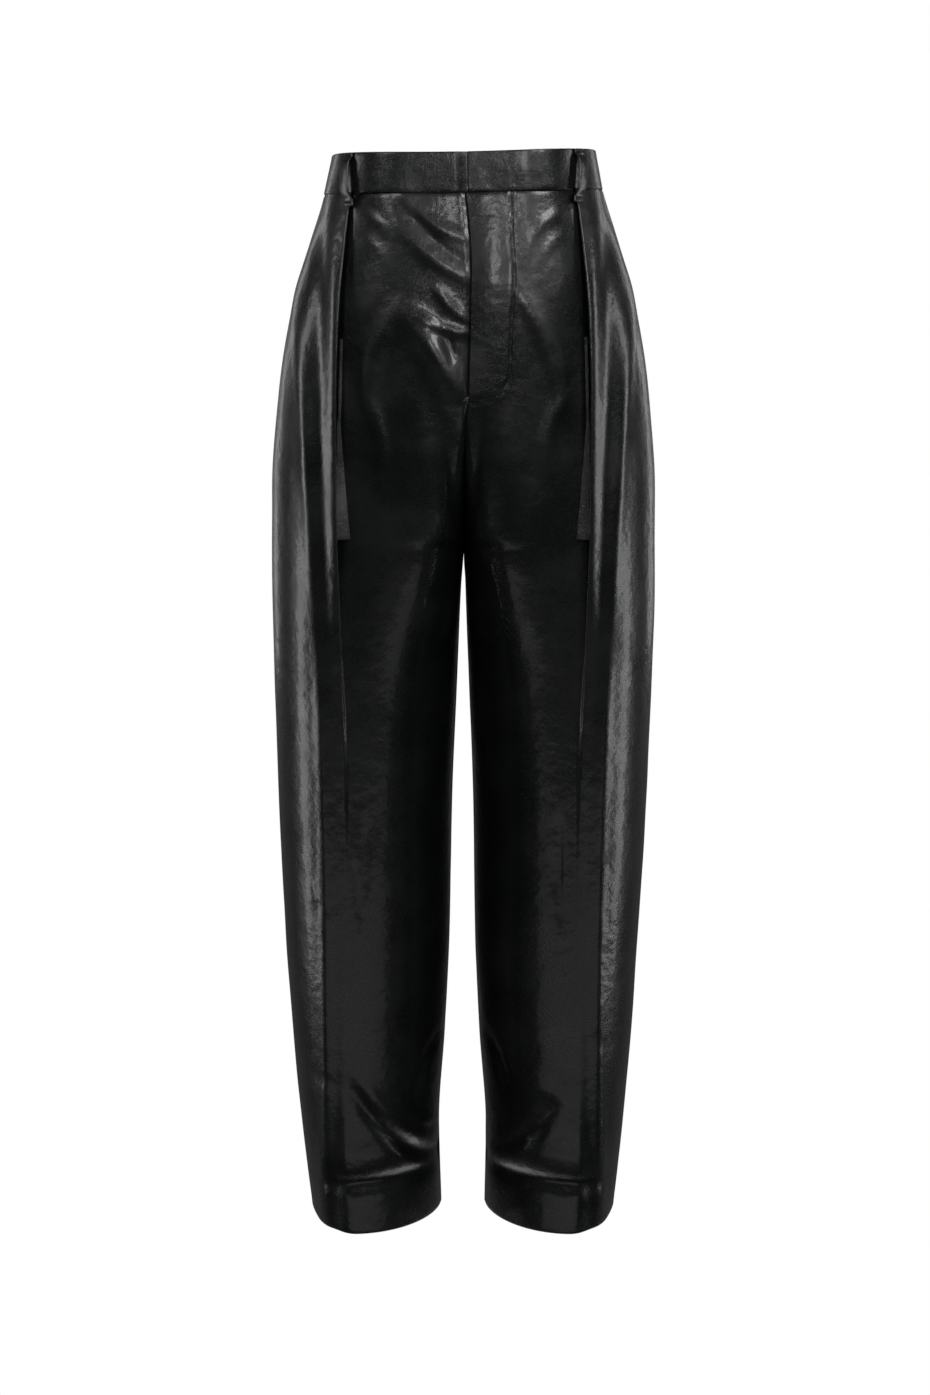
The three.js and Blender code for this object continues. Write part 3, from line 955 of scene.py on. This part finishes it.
def beltLoop(name, face, x, side):
    section = strapSection(loopSize["width"], loopSize["thick"], loopSize["round"])
    rows = loopSize["rows"]
    z = np.linspace(loopPath["z"][0], loopPath["z"][-1], rows)
    off = flowing(loopPath, "off", z, 1.6)
    tangent = np.stack([np.gradient(off), np.gradient(z)], 1)
    tangent /= np.linalg.norm(tangent, axis=1, keepdims=True)
    grid = []
    for i, level in enumerate(z):
        line = PanelLine(face, level, 0.1)
        s = line.lengthAt(x)
        out = line.outwards(s)
        across = np.array([-out[1], out[0]])
        away = loopSize["gap"] + off[i] - section[:, 1] * tangent[i, 1]
        plan = line.place(s) + out * away[:, None] + across * section[:, :1]
        height = level + section[:, 1] * tangent[i, 0]
        newX, newZ = placed(plan[:, 0], height, side)
        grid.append(np.stack([newX, plan[:, 1], newZ], 1))
    around = len(section)
    flip = side > 0
    faces = gridFaces(rows, around, flip, True).tolist()
    caps = [list(range(around)), [(rows - 1) * around + i for i in range(around)]]
    caps[0 if flip else 1].reverse()
    wear = np.tile(np.where(np.abs(section[:, 0]) > loopSize["width"] / 2 - 1, 0.6, 0), (rows, 1))
    return makePiece(name, np.reshape(grid, (-1, 3)), faces + caps, [stretched], wear)


loops = {
    "loopFrontRight": ("loop_front_right", "front", 106, -1),
    "loopFrontLeft": ("loop_front_left", "front", 106, 1),
    "loopBackRight": ("loop_back_right", "back", 84, -1),
    "loopBackLeft": ("loop_back_left", "back", 84, 1),
    "loopBackCentre": ("loop_back_centre", "back", 0.1, 1),
}
for name, (nodeName, face, x, side) in loops.items():
    finishPiece(beltLoop(name, face, x, side), "leather_trim", nodeName)
print("trim made")


def stitchTree():
    # a thread arched over each step of a line, facing the way of its "upward" attribute
    tree = bpy.data.node_groups.new("stitches along a line", "GeometryNodeTree")
    sockets = tree.interface
    sockets.new_socket("Geometry", in_out="INPUT", socket_type="NodeSocketGeometry")
    for name in ["Spacing", "Length", "Thread", "Turn", "Unevenness"]:
        sockets.new_socket(name, in_out="INPUT", socket_type="NodeSocketFloat")
    sockets.new_socket("Seed", in_out="INPUT", socket_type="NodeSocketInt")
    sockets.new_socket("Material", in_out="INPUT", socket_type="NodeSocketMaterial")
    sockets.new_socket("Geometry", in_out="OUTPUT", socket_type="NodeSocketGeometry")
    given = node(tree, "NodeGroupInput").outputs

    def number(operation, a, b):
        made = node(tree, "ShaderNodeMath", {"operation": operation})
        for socket, value in zip(made.inputs, (a, b)):
            if isinstance(value, bpy.types.NodeSocket):
                tree.links.new(value, socket)
            else:
                socket.default_value = value
        return made.outputs[0]

    line = node(tree, "GeometryNodeMeshToCurve", Mesh=given["Geometry"])
    steps = node(
        tree, "GeometryNodeResampleCurve", {"mode": "LENGTH"},
        Curve=line.outputs[0], Length=given["Spacing"],
    )
    end = number("MULTIPLY", given["Length"], 0.5)
    sunk = number("MULTIPLY", given["Thread"], -0.9)
    start = node(tree, "ShaderNodeCombineXYZ", X=number("MULTIPLY", end, -1), Z=sunk)
    top = node(tree, "ShaderNodeCombineXYZ", Z=number("MULTIPLY", given["Thread"], 1.5))
    finish = node(tree, "ShaderNodeCombineXYZ", X=end, Z=sunk)
    arch = node(
        tree, "GeometryNodeCurveQuadraticBezier", Resolution=5,
        Start=start.outputs[0], Middle=top.outputs[0], End=finish.outputs[0],
    )
    ring = node(tree, "GeometryNodeCurvePrimitiveCircle", Resolution=6, Radius=given["Thread"])
    stitch = node(
        tree, "GeometryNodeCurveToMesh", Curve=arch.outputs[0],
        Profile_Curve=ring.outputs[0], Fill_Caps=True,
    )
    upward = node(
        tree, "GeometryNodeInputNamedAttribute", {"data_type": "FLOAT_VECTOR"}, Name="upward",
    )
    way = node(tree, "GeometryNodeInputTangent")
    lying = node(
        tree, "FunctionNodeAlignRotationToVector", {"axis": "X"}, Vector=way.outputs[0],
    )
    standing = node(
        tree, "FunctionNodeAlignRotationToVector", {"axis": "Z", "pivot_axis": "X"},
        Rotation=lying.outputs[0], Vector=upward.outputs["Attribute"],
    )
    uneven = node(tree, "FunctionNodeRandomValue", {"data_type": "FLOAT"}, Seed=given["Seed"])
    tree.links.new(number("MULTIPLY", given["Unevenness"], -1), uneven.inputs[2])
    tree.links.new(given["Unevenness"], uneven.inputs[3])
    turn = node(tree, "ShaderNodeCombineXYZ", Z=number("ADD", given["Turn"], uneven.outputs[1]))
    turnAbout = node(tree, "FunctionNodeEulerToRotation", Euler=turn.outputs[0])
    turned = node(
        tree, "FunctionNodeRotateRotation", {"rotation_space": "LOCAL"},
        Rotation=standing.outputs[0], Rotate_By=turnAbout.outputs[0],
    )
    placedStitches = node(
        tree, "GeometryNodeInstanceOnPoints", Points=steps.outputs[0],
        Instance=stitch.outputs[0], Rotation=turned.outputs[0],
    )
    real = node(tree, "GeometryNodeRealizeInstances", Geometry=placedStitches.outputs[0])
    coloured = node(
        tree, "GeometryNodeSetMaterial", Geometry=real.outputs[0], Material=given["Material"],
    )
    out = node(tree, "NodeGroupOutput")
    tree.links.new(coloured.outputs[0], out.inputs[0])
    return tree


bpy.context.view_layer.update()
depsgraph = bpy.context.evaluated_depsgraph_get()


def surfaceOf(piece):
    return BVHTree.FromObject(piece, depsgraph)


def frontPoint(surface, x, z, side, out=0.0):
    # where a line from the front meets a piece, at a distance from the centre and a level
    newX, newZ = placed(x, z, side)
    origin = Vector((float(newX) * mm, -1, float(newZ) * mm))
    hit, normal, _, _ = surface.ray_cast(origin, Vector((0, 1, 0)))
    return hit + normal * out * mm, normal


stitching = stitchTree()


def sew(name, lines, settings):
    # lines of (point, upward) pairs, in metres, sewn with one kind of stitch
    mesh = bpy.data.meshes.new(name)
    points = [p for line in lines for p, _ in line]
    edges, first = [], 0
    for line in lines:
        edges += [(first + i, first + i + 1) for i in range(len(line) - 1)]
        first += len(line)
    mesh.from_pydata(points, edges, [])
    upward = mesh.attributes.new("upward", "FLOAT_VECTOR", "POINT")
    upward.data.foreach_set("vector", [c for line in lines for _, n in line for c in n])
    piece = bpy.data.objects.new(name, mesh)
    bpy.context.scene.collection.objects.link(piece)
    modifier = piece.modifiers.new("stitches", "NODES")
    modifier.node_group = stitching
    identifiers = {
        item.name: item.identifier
        for item in stitching.interface.items_tree
        if item.in_out == "INPUT"
    }
    for word, value in settings.items():
        modifier[identifiers[word]] = value
    bpy.context.view_layer.update()
    seen = piece.evaluated_get(bpy.context.evaluated_depsgraph_get())
    piece.data = bpy.data.meshes.new_from_object(seen)
    piece.data.polygons.foreach_set("use_smooth", [True] * len(piece.data.polygons))
    piece.modifiers.remove(modifier)
    return piece


stitches = {
    "Spacing": 3.1 * mm,
    "Length": 2.5 * mm,
    "Thread": 0.26 * mm,
    "Turn": 0.0,
    "Unevenness": 0.06,
    "Seed": 11,
    "Material": thread,
}
bartack = dict(stitches, Spacing=0.55 * mm, Length=2.6 * mm, Thread=0.24 * mm, Turn=1.25, Seed=5)

# Where the bartacks lie: across the fly's end, and at both ends of each belt loop.
flyTack = {"level": -208.5, "slope": -0.06, "from": 3, "to": 13, "points": 12, "lift": 0.15}
loopTack = {"levels": (17.6, -26.4), "reach": 3.8, "points": 9, "from": 12, "lift": 0.12}


def flyStitches():
    surface = surfaceOf(panels["frontLeft"])
    line = np.array(flyLine, float)
    passed = np.concatenate([[0], np.cumsum(np.hypot(*np.diff(line, axis=0).T))])
    reached = np.linspace(0.5, passed[-1] - 0.5, 130)
    x = np.interp(reached, passed, line[:, 0])
    z = np.interp(reached, passed, line[:, 1])
    return [frontPoint(surface, a, b, 1, 0.05) for a, b in zip(x, z)]


def flyBartack():
    surface = surfaceOf(panels["frontLeft"])
    along = np.linspace(flyTack["from"], flyTack["to"], flyTack["points"])
    levels = flyTack["level"] + flyTack["slope"] * along
    return [frontPoint(surface, x, z, 1, flyTack["lift"]) for x, z in zip(along, levels)]


def loopBartacks(surface, face, x, side):
    lines = []
    for z in loopTack["levels"]:
        line = PanelLine(face, z, 0.1)
        s = line.lengthAt(x)
        out, middle = line.outwards(s), line.place(s)
        across = np.array([-out[1], out[0]])
        row = []
        for w in np.linspace(-loopTack["reach"], loopTack["reach"], loopTack["points"]):
            plan = middle + across * w + out * loopTack["from"]
            newX, newZ = placed(plan[0], z, side)
            origin = Vector((float(newX) * mm, float(plan[1]) * mm, float(newZ) * mm))
            way = Vector((-side * float(out[0]), -float(out[1]), 0)).normalized()
            hit, normal, _, _ = surface.ray_cast(origin, way)
            if hit is not None:
                row.append((hit + normal * loopTack["lift"] * mm, normal))
        lines.append(row)
    return lines


finishPiece(sew("flyStitches", [flyStitches()], stitches), "leather_trim")
bartackLines = [flyBartack()]
for name, (nodeName, face, x, side) in loops.items():
    bartackLines += loopBartacks(surfaceOf(bpy.data.objects[name]), face, x, side)
finishPiece(sew("bartacks", bartackLines, bartack), "leather_trim")
print("stitches sewn")

# The camera stands square in front, a little above the middle, and looks down.
view = {"distance": 2430, "pitch": 9.4, "lookAt": -508.4, "pictureHeight": 1395, "sensor": 36}


def addCamera():
    data = bpy.data.cameras.new("camera")
    data.sensor_width = view["sensor"]
    data.lens = view["sensor"] * view["distance"] / view["pictureHeight"]
    camera = bpy.data.objects.new("camera", data)
    pitch = math.radians(view["pitch"])
    height = view["lookAt"] + view["distance"] * math.sin(pitch)
    camera.location = (0, -view["distance"] * math.cos(pitch) * mm, height * mm)
    camera.rotation_euler = (math.pi / 2 - pitch, 0, 0)
    bpy.context.scene.collection.objects.link(camera)
    bpy.context.scene.camera = camera


# Softboxes: place and target in metres, width, height and power.
softboxes = {
    "side light right": ((-1.75, -0.04, -0.4), (0, 0, -0.5), 0.5, 1.9, 10),
    "side light left": ((1.75, -0.04, -0.4), (0, 0, -0.5), 0.5, 1.9, 10),
    "top light right": ((-1.1, -1.5, 1.1), (0, 0, -0.15), 0.6, 0.5, 7),
    "top light left": ((1.1, -1.5, 1.1), (0, 0, -0.15), 0.6, 0.5, 13),
    "fly light": ((0.32, -2.2, 0.72), (0, 0, -0.1), 0.35, 0.6, 6),
    "low light": ((0, -1.6, -1.45), (0, 0, -0.8), 3.0, 0.6, 2.9),
    "back light": ((0.3, 2.3, 1.5), (0, 0, -0.4), 1.4, 0.8, 16),
    "back light right": ((-1.5, 2.3, -0.1), (0, 0, -0.5), 0.5, 1.6, 2.7),
    "back light left": ((1.5, 2.3, -0.1), (0, 0, -0.5), 0.5, 1.6, 2.7),
}


def addLights():
    for name, (place, target, width, height, power) in softboxes.items():
        data = bpy.data.lights.new(name, "AREA")
        data.shape = "RECTANGLE"
        data.size, data.size_y = width, height
        data.energy = power
        lamp = bpy.data.objects.new(name, data)
        lamp.location = place
        way = Vector(target) - Vector(place)
        lamp.rotation_euler = way.to_track_quat("-Z", "Y").to_euler()
        lamp.visible_camera = False
        bpy.context.scene.collection.objects.link(lamp)


studio = {
    "seen": 1.0,  # the white that the camera sees behind the trousers
    "front": 0.014,
    "behind": 0.07,
    "floorDrop": 400,  # the floor lies this far below the hem
    "floorRadius": 500,
    "floorBack": 300,  # and its middle this far behind them, out of the reflections
}


def addWorld():
    world = bpy.data.worlds.new("studio")
    bpy.context.scene.world = world
    world.use_nodes = True
    tree = world.node_tree
    tree.nodes.clear()
    way = node(tree, "ShaderNodeTexCoord").outputs["Generated"]
    parts = node(tree, "ShaderNodeSeparateXYZ", Vector=way)
    backness = node(
        tree, "ShaderNodeMapRange", {"interpolation_type": "SMOOTHSTEP"}, Value=parts.outputs["Y"],
        From_Min=-0.2, From_Max=0.9, To_Min=studio["front"], To_Max=studio["behind"],
    )
    around = node(tree, "ShaderNodeBackground", Color=(1, 1, 1, 1), Strength=backness.outputs[0])
    seen = node(tree, "ShaderNodeBackground", Color=(1, 1, 1, 1), Strength=studio["seen"])
    path = node(tree, "ShaderNodeLightPath")
    mixed = node(tree, "ShaderNodeMixShader", Fac=path.outputs["Is Camera Ray"])
    tree.links.new(around.outputs[0], mixed.inputs[1])
    tree.links.new(seen.outputs[0], mixed.inputs[2])
    node(tree, "ShaderNodeOutputWorld", Surface=mixed.outputs[0])


def addFloor():
    radius, z = studio["floorRadius"], cut["hem"] - studio["floorDrop"]
    turn = np.linspace(0, 2 * math.pi, 97)[:-1]
    points = np.stack(
        [radius * np.cos(turn), radius * np.sin(turn) + studio["floorBack"], np.full(96, z)], 1,
    )
    material = bpy.data.materials.new("white floor")
    material.use_nodes = True
    tree = material.node_tree
    tree.nodes.clear()
    where = node(tree, "ShaderNodeTexCoord").outputs["Object"]
    grain = node(tree, "ShaderNodeTexNoise", Vector=where, Scale=30, Detail=3)
    tint = node(tree, "ShaderNodeMix", {"data_type": "RGBA"}, Factor=grain.outputs["Fac"])
    tint.inputs[6].default_value = (0.9, 0.9, 0.9, 1)
    tint.inputs[7].default_value = (0.93, 0.93, 0.93, 1)
    shader = node(
        tree, "ShaderNodeBsdfPrincipled", Base_Color=tint.outputs[2], Roughness=0.8,
        Emission_Color=(1, 1, 1, 1), Emission_Strength=1,
    )
    node(tree, "ShaderNodeOutputMaterial", Surface=shader.outputs[0])
    makePiece("floor", points, [list(range(96))], [material])


addCamera()
addLights()
addWorld()
addFloor()
bpy.context.scene.view_settings.view_transform = "Standard"
print("camera, lights and floor set")
